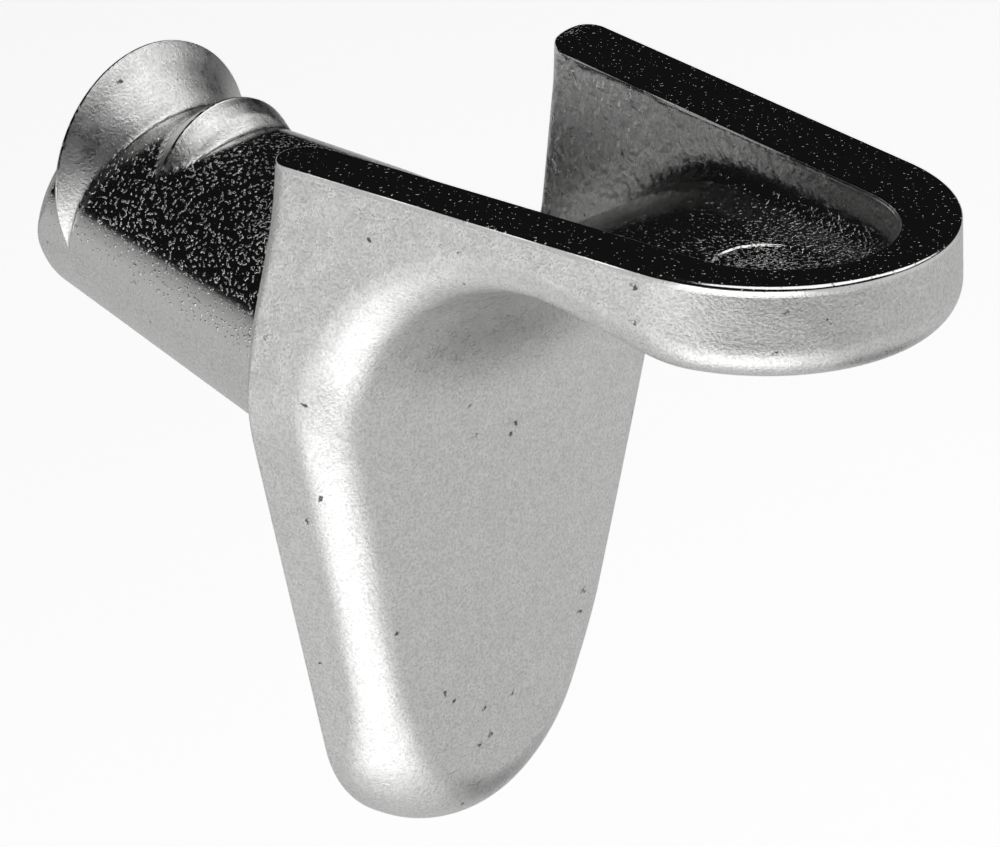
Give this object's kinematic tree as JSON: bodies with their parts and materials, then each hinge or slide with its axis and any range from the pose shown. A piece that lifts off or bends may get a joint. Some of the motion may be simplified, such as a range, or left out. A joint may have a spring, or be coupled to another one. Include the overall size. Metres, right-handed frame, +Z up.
{
  "type": "shelf support pin",
  "caption": "Cast metal shelf support with a barbed round pin, a U-shaped platform under the shelf and a tapered leg that bears on the cabinet side.",
  "frame": {"origin": "on the pin's axis at the wall plane, where the pin leaves the body", "axes": "+X from the wall to the platform's nose, Y along the wall, +Z up to the bearing face"},
  "size_m": [0.0183, 0.0084, 0.0131],
  "materials": {
    "plated_zinc": "bright nickel plate over a slightly grainy zinc die casting, the platform's top edge smooth and mirror-like"
  },
  "bodies": {
    "root": {"shelf_support": "plated_zinc"}
  },
  "joints": []
}
